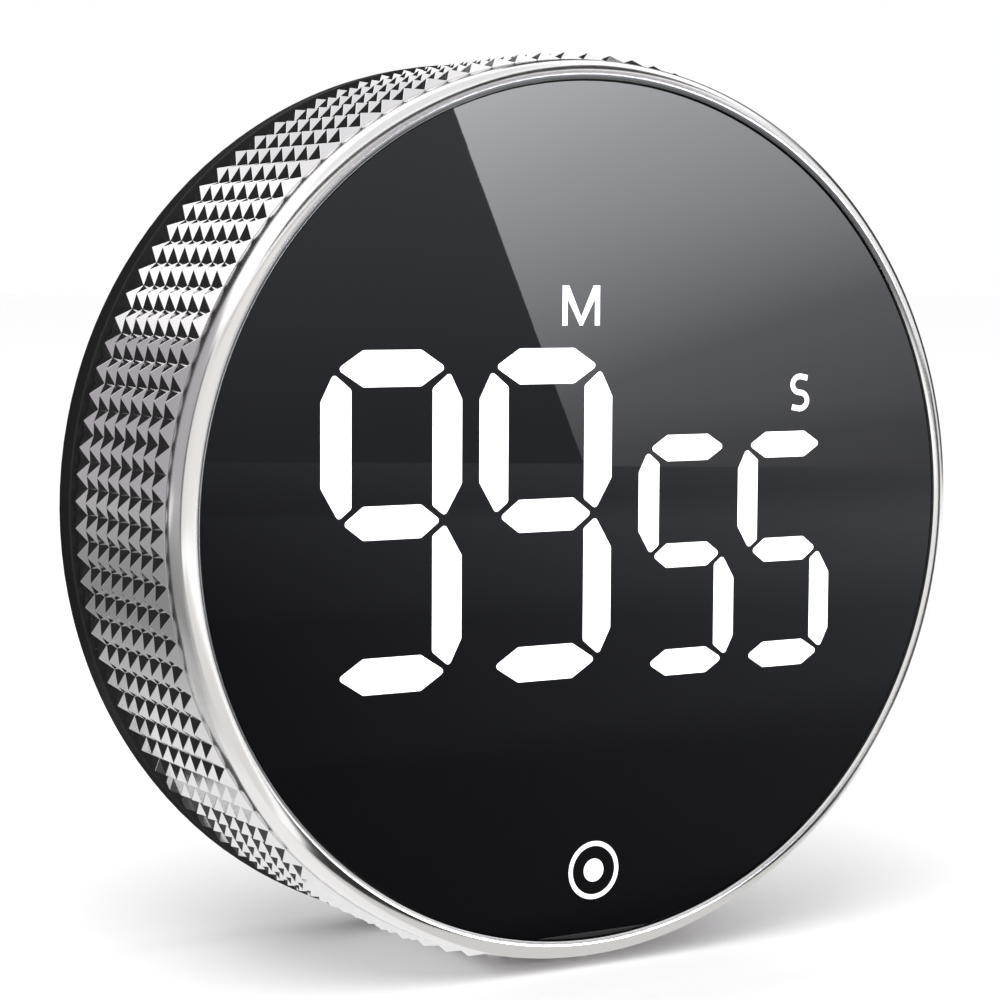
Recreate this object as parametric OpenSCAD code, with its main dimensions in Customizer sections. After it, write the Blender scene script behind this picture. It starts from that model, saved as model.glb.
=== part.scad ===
// Twist-dial kitchen timer with a battery LED display and a magnetic back.
// The part stands as it hangs on a steel door: +Z is up, the display faces -Y, and the origin is
// at the centre of the plane where the rubber ring of the back touches the door.
// Inside facing() a piece is drawn as seen from the front: x right, y up, z out of the door.

/* [Body] */
// Radius of the rear housing, the widest piece
body_r = 39; // [38.8:0.05:39.4]
// Height of the housing's rim above the mounting plane
rim_z = 7; // [6.8:0.1:7.1]
// Radius of the rounded back edge
corner_r = 5; // [4.5:0.1:5]
// Wall thickness of the rear housing
wall = 1.6; // [1.4:0.1:1.7]
// Height of the housing's back face above the mounting plane
back_z = 0.6; // [0.5:0.05:0.7]

/* [Dial] */
// Radius at the points of the knurl
knurl_tip_r = 38.95; // [38.9:0.01:38.95]
// Radius at the valleys of the knurl
knurl_root_r = 38.3; // [38.25:0.01:38.35]
// Number of knurl points round the dial
knurl_count = 108; // [96:4:120]
// Number of knurl rows along the dial
knurl_rows = 8; // [6:1:9]
// Inner radius of the metal sleeve
sleeve_r = 37.4; // [37.3:0.05:37.5]
// Module of the gear pair
gear_module = 0.6; // [0.6:0.1:0.6]
// Teeth of the dial's inner gear
ring_teeth = 120; // [120:1:120]
// Teeth of the encoder's pinion
pinion_teeth = 25; // [25:1:25]

/* [Front] */
// Overall depth, from the mounting plane to the crown of the bezel
depth = 28.5; // [28.4:0.05:28.6]
// Height of the display panel's face
panel_z = 28; // [27.9:0.05:28]
// Radius of the display panel
panel_r = 36.43; // [36.3:0.01:36.45]
// Thickness of the display panel
panel_t = 1.6; // [1.5:0.1:1.6]
// Height of the seam between the bezel and the dial
seam_z = 25.56; // [25.5:0.01:25.6]
// Radius of the bezel's rear edge
bezel_r = 38.27; // [38.2:0.01:38.3]

/* [Display] */
// Outer width of a minutes digit
minute_w = 12.92; // [12:0.01:13]
// Height between the centre lines of a minutes digit's top and bottom bars
minute_h = 24.92; // [24:0.01:25]
// Stroke of a minutes digit
minute_stroke = 2.76; // [2.5:0.01:2.8]
// Outer width of a seconds digit
second_w = 10; // [9:0.01:10]
// Height between the centre lines of a seconds digit's top and bottom bars
second_h = 18.56; // [18:0.01:19]
// Stroke of a seconds digit
second_stroke = 2.1; // [2:0.01:2.2]
// Rounding of the segments' corners
segment_round = 0.3; // [0.2:0.05:0.4]

/* [Battery bay] */
// Diameter of an AAA cell
cell_d = 10.5; // [10.5:0.1:10.5]
// Length of an AAA cell over its button
cell_len = 44.5; // [44.5:0.1:44.5]
// Distance between neighbouring cells
cell_pitch = 10.9; // [10.8:0.05:10.9]

/* [Hidden] */
$fn = 96;

// Clearances: a running fit, a loose gap round a moving piece, and a cut that runs past a face
run_gap = 0.08;
free_gap = 0.25;
past = 1;

// Colours
black_abs = "#17181a";
gloss_black = "#0c0d10";
steel = "#c9c9cb";
board_green = "#1d5b3c";
cream = "#e9e6dc";
tin = "#b9bcc0";

// Rear housing
floor_z = back_z + wall;
corner_c = body_r - corner_r;

// Inner frame: a drum that carries the dial, closed by a deck in front of the cells
drum_r = 34.4;
drum_in_r = 32.8;
drum_z0 = floor_z + 0.15;
neck_r = 33.9;
shelf_z = 22.6;
neck_z = 24;
deck_z = 13.8;
deck_t = 1.4;
deck_top = deck_z + deck_t;

// Main board
board_z = 17;
board_t = 1.2;
board_r = 31.6;
board_top = board_z + board_t;
board_screw_at = [[0, 24.5], [-19, -22], [19, -22]];

// Display module
lamp_w = 53.2;
lamp_h = 31;
lamp_x = -0.6;
lamp_top = 25.3;
film_t = 0.2;
minute_x = [-19.45, -4.89];
minute_y = 0.17;
second_x = [9.33, 19.68];
second_y = -3.85;

// Panel rocker: its trunnions, and the tact switch under the icon
pivot_y = 29.5;
pivot_z = 24.6;
pivot_r = 0.9;
carrier_z = panel_z - panel_t - 1.6;
carrier_in_r = 33.6;
carrier_out_r = 36.2;
icon_y = -30.55;
tact_y = -27.6;
tact_top = board_top + 3.4;
plunger_top = carrier_z - 0.6;
hook_x = 6.5;

// Dial gearing
ring_pitch_r = gear_module * ring_teeth / 2;
pinion_pitch_r = gear_module * pinion_teeth / 2;
spindle_x = -(ring_pitch_r - pinion_pitch_r);
pinion_z0 = 10.2;
pinion_z1 = 13.2;
gear_ring_z0 = 8;
gear_zone_top = 13.9;
gear_ring_z1 = 18.4;
pressure_angle = 20;
backlash = 0.14;

// Battery bay and door
bay_x = 17;
bay_y = 25.4;
bay_wall = 1.2;
bay_z0 = 2.5;
cell_z = floor_z + 0.45 + cell_d / 2;
door_x = 17.2;
door_top_y = 28.2;
door_low_y = -26.4;
door_round = 4;
hinge_y = -27.9;
hinge_z = 1.6;
hinge_r = 1;
hinge_half = 9.5;
pin_r = 0.7;
pin_end = 11.5;

// Back face: screws, magnets, grip ring, volume slide and buzzer
screw_at = [for (sx = [-1, 1], sy = [-1, 1]) [22 * sx, 19.5 * sy]];
magnet_at = [for (sx = [-1, 1], sy = [-1, 1]) [24.8 * sx, 11.5 * sy]];
magnet_r = 4;
magnet_z0 = 0.3;
magnet_t = 3;
cup_top = 4.2;
grip_in_r = 31.9;
grip_out_r = 33.7;
grip_t = 1.2;
slide_x = -25.2;
slide_travel = 1.5;
knob_w = 2.4;
knob_len = 4.2;
small_board_z = 6.3;
buzzer_x = 25.2;
buzzer_r = 5.5;
wire_at = [for (sx = [-1, 1], sy = [-1, 1]) [20.5 * sx, 9.2 * sy]];

// ---- Helpers ----

// Turn a shape drawn as seen from the front into the part's own frame
module facing() rotate([90, 0, 0]) children();

module at_z(z) translate([0, 0, z]) children();

// A rod or a tube along z, from z0 to z1
module rod(r, z0, z1) translate([0, 0, z0]) cylinder(r = r, h = z1 - z0);

module tube(r_in, r_out, z0, z1) difference() {
    rod(r_out, z0, z1);
    rod(r_in, z0 - past, z1 + past);
}

// A box given by its two corners
module block(a, b) translate(a) cube(b - a);

// A pin along x, centred at height y and z
module cross_pin(y, z, r, len) translate([0, y, z]) rotate([0, 90, 0])
    cylinder(r = r, h = len, center = true);

// A plate with round corners, from z0 to z1
module round_plate(x, y0, y1, r, z0, z1) translate([0, 0, z0]) linear_extrude(z1 - z0) {
    translate([-x + r, y0]) square([2 * (x - r), y1 - y0]);
    translate([-x, y0 + r]) square([2 * x, y1 - y0 - 2 * r]);
    for (sx = [-1, 1], y = [y0 + r, y1 - r]) translate([sx * (x - r), y]) circle(r = r);
}

// Points of an arc about c, from angle a0 to a1
function arc(c, r, a0, a1, n) =
    [for (i = [0:n]) c + r * [cos(a0 + (a1 - a0) * i / n), sin(a0 + (a1 - a0) * i / n)]];

// Involute gear outline, drawn with one tooth centred on +x
function polar(r, a) = [r * cos(a), r * sin(a)];
function involute_turn(r, base) = r <= base ? 0 : sqrt(r * r / (base * base) - 1) * 180 / PI
    - acos(base / r);
function half_tooth(r, pitch, base, width) =
    width / (2 * pitch) * 180 / PI + involute_turn(pitch, base) - involute_turn(r, base);
function gear_points(teeth, root, tip, width, steps = 3) =
    let (pitch = gear_module * teeth / 2, base = pitch * cos(pressure_angle))
    [for (i = [0:teeth - 1], side = [-1, 1], k = [0:steps])
        let (j = side < 0 ? k : steps - k, r = root + (tip - root) * j / steps)
        polar(r, 360 * i / teeth + side * half_tooth(r, pitch, base, width))];

// A round wire swept along a list of points
function unit(v) = v / norm(v);
function way(p, i) = unit(p[min(i + 1, len(p) - 1)] - p[max(i - 1, 0)]);
function across(w) = unit(cross(w, abs(w.z) < 0.8 ? [0, 0, 1] : [1, 0, 0]));
module wire(p, r, sides = 8) {
    rings = [for (i = [0:len(p) - 1], k = [0:sides - 1])
        let (w = way(p, i), u = across(w), v = cross(w, u), a = 360 * k / sides)
        p[i] + r * (cos(a) * u + sin(a) * v)];
    n = len(p);
    polyhedron(rings, concat(
        [[for (k = [0:sides - 1]) k]],
        [[for (k = [sides - 1:-1:0]) (n - 1) * sides + k]],
        [for (i = [0:n - 2], k = [0:sides - 1])
            let (a = i * sides + k, b = i * sides + (k + 1) % sides)
            [a, a + sides, b + sides, b]]
    ));
}

// ---- Housing and frame ----

// Outline of the bowl, turned about the axis: a flat back, a round edge and a straight rim
module bowl_profile(r, z0, edge) intersection() {
    translate([0, z0]) square([r, rim_z + past - z0]);
    union() {
        square([r - edge, rim_z + past]);
        translate([0, z0 + edge]) square([r, rim_z]);
        translate([r - edge, z0 + edge]) circle(r = edge);
    }
}

module housing_shell() difference() {
    intersection() {
        rotate_extrude() bowl_profile(body_r, back_z, corner_r);
        rod(body_r + past, 0, rim_z);
    }
    rotate_extrude() bowl_profile(body_r - wall, floor_z, corner_r - wall);
}

module door_opening() {
    round_plate(door_x + free_gap, door_low_y - 0.45, door_top_y + free_gap,
        door_round + free_gap, back_z - past, floor_z + past);
    block([-hinge_half - 0.3, hinge_y - 1.2, back_z - past], [hinge_half + 0.3, 0, floor_z + past]);
}

module magnet_pockets() for (p = magnet_at) translate(p) rod(magnet_r + 0.05, 0, magnet_z0 + magnet_t);

module sound_holes() translate([buzzer_x, 0]) {
    rod(0.6, 0, floor_z + past);
    for (a = [0:60:300]) rotate(a) translate([2.4, 0]) rod(0.6, 0, floor_z + past);
}

module rear_housing() color(black_abs) facing() difference() {
    union() {
        housing_shell();
        for (p = magnet_at) translate(p) rod(magnet_r + 1.1, back_z + 0.2, cup_top);
        for (s = [-1, 1]) {
            translate([slide_x, 8 * s]) rod(1.1, cup_top - 0.2, small_board_z);
            translate([slide_x, 8 * s]) rod(0.6, cup_top - 0.2, small_board_z + 1.1);
            block([s > 0 ? hinge_half + 0.3 : -hinge_half - 2.7, hinge_y - 1.2, back_z + 0.2],
                [s > 0 ? hinge_half + 2.7 : -hinge_half - 0.3, hinge_y + 1.15, hinge_z + 1.5]);
        }
        translate([buzzer_x, 0]) tube(buzzer_r + 0.1, buzzer_r + 0.9, back_z + 0.2, 4.6);
    }
    door_opening();
    magnet_pockets();
    sound_holes();
    tube(grip_in_r, grip_out_r, -past, grip_t);
    for (p = screw_at) translate(p) {
        rod(1.2, 0, floor_z + past);
        rod(2.1, 0, back_z + 0.8);
    }
    cross_pin(hinge_y, hinge_z, pin_r + run_gap, 2 * pin_end + 0.2);
    block([slide_x - knob_w / 2 - 0.2, -knob_len / 2 - slide_travel - 0.2, 0],
        [slide_x + knob_w / 2 + 0.2, knob_len / 2 + slide_travel + 0.2, floor_z + past]);
}

module bay_walls() difference() {
    block([-bay_x - bay_wall, -bay_y - bay_wall, bay_z0],
        [bay_x + bay_wall, bay_y + bay_wall, deck_z + 0.2]);
    block([-bay_x, -bay_y, bay_z0 - past], [bay_x, bay_y, deck_z]);
}

// Ears that hold the panel's trunnions
module trunnion_posts() for (s = [-1, 1]) difference() {
    translate([11 * s, 0]) {
        block([-1.4, 28, deck_top + 4], [1.4, 30.8, 26.2]);
        block([-1.4, 28, deck_top + 4], [1.4, 31.6, shelf_z]);
    }
    cross_pin(pivot_y, pivot_z, pivot_r + 0.06, 40);
}

module hook_windows() for (s = [-1, 1])
    block([hook_x * s - 2.2, -36, 19.8], [hook_x * s + 2.2, -31, 22]);

module inner_frame() color(black_abs) facing() difference() {
    union() {
        tube(drum_in_r, drum_r, drum_z0, shelf_z);
        tube(drum_in_r, neck_r, shelf_z - 0.2, neck_z);
        rod(drum_in_r + 0.2, deck_z, deck_top);
        bay_walls();
        for (p = screw_at) translate(p) rod(2.5, drum_z0, deck_z + 0.2);
        for (p = board_screw_at) translate(p) rod(2.2, deck_top - 0.2, board_z);
        trunnion_posts();
    }
    for (p = screw_at) translate(p) rod(0.9, 0, 11.5);
    for (p = board_screw_at) translate(p) rod(0.7, deck_z - past, board_z + past);
    // Room for the encoder in the deck, and for its pinion in the drum
    block([spindle_x - 4.3, -4.4, deck_z - past], [spindle_x + 4.4, 4.4, deck_top + past]);
    translate([spindle_x, 0]) rod(8.6, 9.8, deck_z - 0.05);
    // Holes in the deck for the wires, and slots for the two end tabs of the battery contacts
    for (p = wire_at) translate(p) rod(0.9, deck_z - past, deck_top + past);
    for (s = [-1, 1]) translate([s * cell_pitch, -s * (bay_y - 0.2), 0])
        block([-1.3, -0.4, deck_z - past], [1.3, 0.4, deck_top + past]);
    hook_windows();
}

module housing_screws() color(tin) facing() for (p = screw_at) translate(p) difference() {
    union() {
        rod(1.9, back_z + 0.1, back_z + 0.8);
        rod(0.88, back_z + 0.7, 10.5);
    }
    for (a = [0, 90]) rotate(a) block([-1.1, -0.22, 0], [1.1, 0.22, back_z + 0.45]);
}

module grip_ring() color("#101010") facing() tube(grip_in_r + 0.02, grip_out_r - 0.02, 0, grip_t);

module magnets() color(tin) facing() for (p = magnet_at) translate(p)
    rod(magnet_r, magnet_z0, magnet_z0 + magnet_t);

// ---- Batteries ----

module battery_door() color(black_abs) facing() difference() {
    union() {
        round_plate(door_x, door_low_y, door_top_y, door_round, back_z, floor_z);
        block([-hinge_half, hinge_y, back_z], [hinge_half, door_low_y + 1, floor_z]);
        cross_pin(hinge_y, hinge_z, hinge_r, 2 * hinge_half);
        cross_pin(hinge_y, hinge_z, pin_r, 2 * pin_end);
        // Friction tongue that grips the end wall of the bay
        block([-4, bay_y + bay_wall + 0.25, floor_z - 0.2], [4, bay_y + bay_wall + 1.05, 6.2]);
    }
    // Finger recess with grip grooves
    for (i = [0:3]) block([-5, 19.5 + 1.8 * i, back_z - past], [5, 20.3 + 1.8 * i, back_z + 0.5]);
}

module cell(x, button_up) facing() translate([x, 0, cell_z]) rotate([button_up ? -90 : 90, 0, 0]) {
    button_end = bay_y - 0.6;
    rod(cell_d / 2, button_end - cell_len, button_end - 0.8);
    rod(1.9, button_end - 1, button_end);
}

module battery_cell_left() color("#2b2d33") cell(-cell_pitch, true);
module battery_cell_middle() color("#2b2d33") cell(0, false);
module battery_cell_right() color("#2b2d33") cell(cell_pitch, true);

spring_turns = 4;
function spring_points(len) = [for (i = [0:spring_turns * 10])
    let (s = i / (spring_turns * 10), r = 3.2 - 1.4 * s)
    [r * cos(36 * i), r * sin(36 * i), 0.35 + (len - 0.7) * s]];

module battery_springs() color(tin) facing()
    for (k = [-1:1]) translate([k * cell_pitch, (k == 0 ? 1 : -1) * (bay_y - 0.4), cell_z])
        rotate([k == 0 ? 90 : -90, 0, 0]) wire(spring_points(5.1), 0.3, 6);

// Plates at both ends of each cell; the two ends of the row have a tab up to the main board
module contact_plates() color(tin) facing() for (k = [-1:1], s = [-1, 1])
    translate([k * cell_pitch, s * (bay_y - 0.2), 0]) {
        block([-4.2, -0.2, cell_z - 4.2], [4.2, 0.2, cell_z + 4.6]);
        if (k == -s) block([-1, -0.2, cell_z], [1, 0.2, board_z]);
    }

// ---- Dial ----

// Bezel section, as radius and height: flange over the dial, rounded crown, seat for the panel
module bezel_section() polygon(concat(
    [[neck_r + 0.02, shelf_z], [sleeve_r - 0.2, shelf_z], [sleeve_r - 0.2, seam_z], [bezel_r, seam_z]],
    arc([bezel_r - 0.42, depth - 1.25], 0.2, 5, 40, 3),
    arc([bezel_r - 0.97, depth - 0.75], 0.75, 45, 115, 8),
    [[36.66, panel_z + 0.02], [36.6, panel_z - 0.1], [36.6, neck_z], [neck_r + 0.02, neck_z]]
));

module bezel_ring() color(steel) facing() rotate_extrude() bezel_section();

// The sleeve's outside is one skin of four-sided points, each between four valley corners
module knurl_solid(z0, z1) {
    pitch = (z1 - z0) / knurl_rows;
    step = 360 / knurl_count;
    valleys = [for (j = [0:knurl_rows], i = [0:knurl_count - 1])
        [knurl_root_r * cos(step * i), knurl_root_r * sin(step * i), z0 + pitch * j]];
    points = [for (j = [0:knurl_rows - 1], i = [0:knurl_count - 1])
        let (a = step * (i + 0.5))
        [knurl_tip_r * cos(a), knurl_tip_r * sin(a), z0 + pitch * (j + 0.5)]];
    first = len(valleys);
    faces = [for (j = [0:knurl_rows - 1], i = [0:knurl_count - 1])
        let (k = (i + 1) % knurl_count, a = j * knurl_count + i, b = j * knurl_count + k,
            c = a + knurl_count, d = b + knurl_count, t = first + j * knurl_count + i)
        each [[a, t, b], [b, t, d], [d, t, c], [c, t, a]]];
    polyhedron(concat(valleys, points), concat(faces, [
        [for (i = [0:knurl_count - 1]) i],
        [for (i = [knurl_count - 1:-1:0]) knurl_rows * knurl_count + i]
    ]));
}

module knurled_sleeve() color(steel) facing() difference() {
    knurl_solid(rim_z + 0.1, seam_z - 0.1);
    translate([0, 0, rim_z - past]) cylinder(r = sleeve_r, h = depth, $fn = 216);
}

module dial_gear_ring() color("#33353a") facing() difference() {
    rod(sleeve_r - 0.01, gear_ring_z0, gear_ring_z1);
    rod(drum_r + run_gap, gear_zone_top - 0.5, gear_ring_z1 + past);
    at_z(gear_ring_z0 - past) linear_extrude(gear_zone_top - gear_ring_z0 + past)
        polygon(gear_points(ring_teeth, ring_pitch_r - gear_module, ring_pitch_r + 1.25 * gear_module,
            PI * gear_module / 2 + backlash / 2));
}

// ---- Electronics ----

module main_board() color(board_green) facing() difference() {
    rod(board_r, board_z, board_top);
    for (p = board_screw_at) translate(p) rod(1, board_z - past, board_top + past);
    // Notches that let the board pass the trunnion ears
    for (s = [-1, 1]) block([11 * s - 2, 27.4, board_z - past], [11 * s + 2, 33, board_top + past]);
}

module board_screws() color(tin) facing() for (p = board_screw_at) translate(p) difference() {
    union() {
        rod(1.6, board_top, board_top + 1);
        rod(0.69, deck_z + 0.3, board_top + 0.1);
    }
    for (a = [0, 90]) rotate(a) block([-0.9, -0.2, board_top + 0.5], [0.9, 0.2, board_top + 2]);
}

// One seven-segment digit in outline; bars names the segments to draw
module bar(tip, shoulder, half) polygon([
    [-tip, 0], [-shoulder, half], [shoulder, half], [tip, 0], [shoulder, -half], [-shoulder, -half]
]);

module upright(x, z_mid, z_end, s) polygon([
    [x + 0.08 * s, z_end - 0.13 * s], [x - 0.5 * s, z_end - 0.6 * s], [x - 0.5 * s, z_mid + 0.45 * s],
    [x - 0.07 * s, z_mid + 0.12 * s], [x + 0.5 * s, z_mid + 1.07 * s], [x + 0.5 * s, z_end - 0.94 * s]
]);

module digit(w, h, s, bars) {
    x = w / 2 - s / 2;
    offset(r = segment_round, $fn = 16) offset(delta = -segment_round) for (b = bars) {
        if (b == "a") translate([0, h / 2]) bar(x - 0.03 * s, x - 0.88 * s, 0.54 * s);
        if (b == "g") bar(x - 0.21 * s, x - 0.88 * s, 0.5 * s);
        if (b == "d") translate([0, -h / 2]) bar(x - 0.03 * s, x - 0.88 * s, 0.54 * s);
        if (b == "b") upright(x, 0, h / 2, s);
        if (b == "c") mirror([0, 1]) upright(x, 0, h / 2, s);
        if (b == "f") mirror([1, 0]) upright(x, 0, h / 2, s);
        if (b == "e") mirror([0, 1]) mirror([1, 0]) upright(x, 0, h / 2, s);
    }
}

module all_digits(minute_bars, second_bars) {
    for (x = minute_x) translate([x, minute_y])
        digit(minute_w, minute_h, minute_stroke, minute_bars);
    for (x = second_x) translate([x, second_y])
        digit(second_w, second_h, second_stroke, second_bars);
}

module display_housing() color("#1c1d20") facing() difference() {
    block([lamp_x - lamp_w / 2, -lamp_h / 2, board_top],
        [lamp_x + lamp_w / 2, lamp_h / 2, lamp_top]);
    at_z(board_top - past) linear_extrude(lamp_top - board_top + 2 * past)
        all_digits("abcdefg", "abcdefg");
}

// A small lamp under the middle of each segment
function lamp_spots(w, h, s) = [
    [0, h / 2], [0, 0], [0, -h / 2],
    for (sx = [-1, 1], sy = [-1, 1]) [sx * (w / 2 - s / 2), sy * h / 4]
];

module display_leds() color(cream) facing() {
    for (x = minute_x, p = lamp_spots(minute_w, minute_h, minute_stroke))
        translate([x, minute_y] + p) block([-0.8, -0.4, board_top], [0.8, 0.4, board_top + 0.6]);
    for (x = second_x, p = lamp_spots(second_w, second_h, second_stroke))
        translate([x, second_y] + p) block([-0.8, -0.4, board_top], [0.8, 0.4, board_top + 0.6]);
}

module diffuser_film() color("white") facing()
    block([lamp_x - lamp_w / 2 + 0.3, -lamp_h / 2 + 0.3, lamp_top],
        [lamp_x + lamp_w / 2 - 0.3, lamp_h / 2 - 0.3, lamp_top + film_t]);

// A moulded chip with bent leads along two sides
module chip(w, len, t, leads) {
    block([-w / 2, -len / 2, 0.1], [w / 2, len / 2, t]);
    for (i = [0:leads - 1], s = [-1, 1])
        translate([0, (i - (leads - 1) / 2) * (len - 0.8) / leads])
            translate([s * (w / 2 + 0.45), 0]) block([-0.55, -0.15, 0], [0.55, 0.15, 0.3]);
}

module controller_chip() color("#202124") facing()
    translate([-9.5, 21.5, board_top]) chip(5.3, 8.4, 1.7, 12);

module driver_chip() color("#202124") facing()
    translate([9.5, 21.5, board_top]) chip(4, 8.4, 1.5, 8);

module board_passives() color("#b59a6a") facing()
    for (i = [0:5]) translate([-10 + 4 * i, -19.5, board_top]) block([-0.8, -0.4, 0], [0.8, 0.4, 0.6]);

module quartz_crystal() color(steel) facing()
    translate([-17.5, 20, board_top + 1.1]) rotate([-90, 0, 0]) {
        rod(1, 0, 6);
        for (s = [-0.4, 0.4]) translate([s, 0, 0]) rod(0.15, -1.2, 0.1);
    }

module tact_switch_body() color("#26272b") facing() translate([0, tact_y, 0]) difference() {
    block([-3, -3, board_top], [3, 3, tact_top]);
    rod(1.75 + run_gap, tact_top - 1.6, tact_top + past);
}

module tact_plunger() color(cream) facing() translate([0, tact_y, 0])
    rod(1.75, tact_top - 1, plunger_top);

module encoder_body() color("#3a5f8a") facing() translate([spindle_x, 0, 0]) difference() {
    block([-4, -4, deck_z - 0.2], [4, 4, board_z]);
    rod(1.5 + run_gap, 0, deck_z + 1.6);
}

module encoder_shaft() color(tin) facing() translate([spindle_x, 0, 0])
    rod(1.5, pinion_z0 - 0.4, deck_z + 1.4);

module encoder_pinion() color("#e8e8e4") facing() translate([spindle_x, 0, 0]) difference() {
    at_z(pinion_z0) linear_extrude(pinion_z1 - pinion_z0) rotate(180 / pinion_teeth)
        polygon(gear_points(pinion_teeth, pinion_pitch_r - 1.25 * gear_module,
            pinion_pitch_r + gear_module, PI * gear_module / 2 - backlash / 2));
    rod(1.5, 0, pinion_z1 + past);
    for (a = [0:60:300]) rotate(a) translate([4.1, 0]) rod(1.1, 0, pinion_z1 + past);
}

module buzzer() color("#141414") facing() translate([buzzer_x, 0, 0]) difference() {
    rod(buzzer_r, floor_z + 0.3, floor_z + 5.8);
    rod(1.2, 0, floor_z + 2);
}

module switch_board() color(board_green) facing() difference() {
    block([slide_x - 3.2, -9.2, small_board_z], [slide_x + 3.2, 9.2, small_board_z + 0.8]);
    for (s = [-1, 1]) translate([slide_x, 8 * s]) rod(0.62, small_board_z - past, small_board_z + 2);
}

module volume_switch_body() color(tin) facing() translate([slide_x, 0]) difference() {
    block([-1.9, -4.4, 4.5], [1.9, 4.4, small_board_z]);
    block([-0.7, -0.6 - slide_travel - 0.1, 4], [0.7, 0.6 + slide_travel + 0.1, 5.4]);
}

module volume_lever() color("#202020") facing() translate([slide_x, 0])
    block([-0.6, -0.6, 3.3], [0.6, 0.6, 5.3]);

module volume_knob() color("#2a2b2e") facing() translate([slide_x, 0]) difference() {
    union() {
        block([-knob_w / 2, -knob_len / 2, 0.4], [knob_w / 2, knob_len / 2, 2.5]);
        block([-2.1, -4.2, floor_z + 0.1], [2.1, 4.2, floor_z + 0.7]);
        block([-1.2, -1.4, floor_z + 0.6], [1.2, 1.4, 4.2]);
    }
    block([-0.6, -0.6, 3.3], [0.6, 0.6, 5]);
    for (i = [-1:1]) block([-2, i * 1.2 - 0.2, 0], [2, i * 1.2 + 0.2, 0.65]);
}

// ---- Front panel ----

letter_h = 3.35;
letter_w = 3.7;
letter_stroke = 0.5;

module letter_m() {
    x = letter_w / 2;
    y = letter_h / 2;
    polygon([
        [-x, -y], [-x, y], [-x + 0.65, y], [0, -0.95], [x - 0.65, y], [x, y], [x, -y],
        [x - letter_stroke, -y], [x - letter_stroke, 0.55], [0.14, -y], [-0.14, -y],
        [-x + letter_stroke, 0.55], [-x + letter_stroke, -y]
    ]);
}

// The letter S is one stroke of even width along a centre line of two bowls and two straight ends
function stroke_side(p, side) = [for (i = [0:len(p) - 1])
    let (d = unit(p[min(i + 1, len(p) - 1)] - p[max(i - 1, 0)]))
    p[i] + side * letter_stroke / 2 * [-d.y, d.x]];

module letter_s() {
    bowl = [0.8, (letter_h - letter_stroke) / 4];
    centre = concat(
        [[0.82, 1.27]],
        [for (i = [70:20:270]) [bowl.x * cos(i), bowl.y + bowl.y * sin(i)]],
        [for (i = [70:-20:-110]) [bowl.x * cos(i), -bowl.y + bowl.y * sin(i)]],
        [[-0.85, -1.27]]
    );
    far = stroke_side(centre, -1);
    polygon(concat(stroke_side(centre, 1), [for (i = [len(far) - 1:-1:0]) far[i]]));
}

module legend_outline() {
    translate([-1.58, 17.65]) letter_m();
    translate([21.24, 9.96]) letter_s();
    translate([0.1, icon_y]) {
        circle(r = 1);
        difference() {
            circle(r = 2.52);
            circle(r = 2.1);
        }
    }
}

legend_t = 0.3;

module display_panel() color(gloss_black) facing() difference() {
    union() {
        rod(panel_r, panel_z - panel_t, panel_z - 0.12);
        at_z(panel_z - 0.12) cylinder(r1 = panel_r, r2 = panel_r - 0.12, h = 0.12);
    }
    at_z(panel_z - panel_t - past) linear_extrude(panel_t + 2 * past) all_digits("abcdfg", "acdfg");
    at_z(panel_z - legend_t) linear_extrude(past) legend_outline();
}

module lit_segments() color("white") facing() at_z(panel_z - panel_t) linear_extrude(panel_t)
    all_digits("abcdfg", "acdfg");

module panel_legends() color("white") facing() at_z(panel_z - legend_t) linear_extrude(legend_t)
    legend_outline();

module panel_carrier() color("#1a1b1d") facing() {
    rear = panel_z - panel_t;
    tube(carrier_in_r, carrier_out_r, carrier_z, rear);
    // Lugs with the trunnion pins
    for (s = [-1, 1]) {
        translate([8 * s, 0]) {
            block([-1.2, 28, carrier_z], [1.2, 34, rear]);
            block([-1.2, 28, 23.4], [1.2, 31.1, rear]);
        }
        translate([8 * s, pivot_y, pivot_z]) rotate([0, 90 * s, 0]) rod(pivot_r, 0, 4.2);
        // Hooks that stop the panel in the frame's windows
        block([hook_x * s - 1.5, -34, carrier_z], [hook_x * s + 1.5, -30.4, rear]);
        block([hook_x * s - 1.5, -31.6, 20.5], [hook_x * s + 1.5, -30.4, rear]);
        block([hook_x * s - 1.5, -33.4, 20.5], [hook_x * s + 1.5, -30.4, 21.95]);
    }
    // Tongue that presses the tact switch
    block([-3.5, -34, carrier_z], [3.5, -24.8, rear]);
    translate([0, tact_y, 0]) rod(2, plunger_top + 0.05, rear);
}

// ---- Wiring ----

// Two wires from the buzzer and two from the switch board, up through the deck to the main board
module hook_up_wires() color("#a02020") facing() for (p = wire_at) {
    foot = p.x > 0
        ? [23, sign(p.y) * 2.5, floor_z + 5.8]
        : [slide_x + 1.6, p.y * 0.8, small_board_z + 0.8];
    wire([foot, foot + [0, 0, 0.8], [p.x, p.y, 11.5], [p.x, p.y, 13], [p.x, p.y, board_z]], 0.45);
}

rear_housing();
inner_frame();
housing_screws();
grip_ring();
magnets();
battery_door();
battery_cell_left();
battery_cell_middle();
battery_cell_right();
battery_springs();
contact_plates();
bezel_ring();
knurled_sleeve();
dial_gear_ring();
main_board();
board_screws();
display_housing();
display_leds();
diffuser_film();
controller_chip();
driver_chip();
board_passives();
quartz_crystal();
tact_switch_body();
tact_plunger();
encoder_body();
encoder_shaft();
encoder_pinion();
buzzer();
switch_board();
volume_switch_body();
volume_lever();
volume_knob();
display_panel();
lit_segments();
panel_legends();
panel_carrier();
hook_up_wires();
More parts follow.
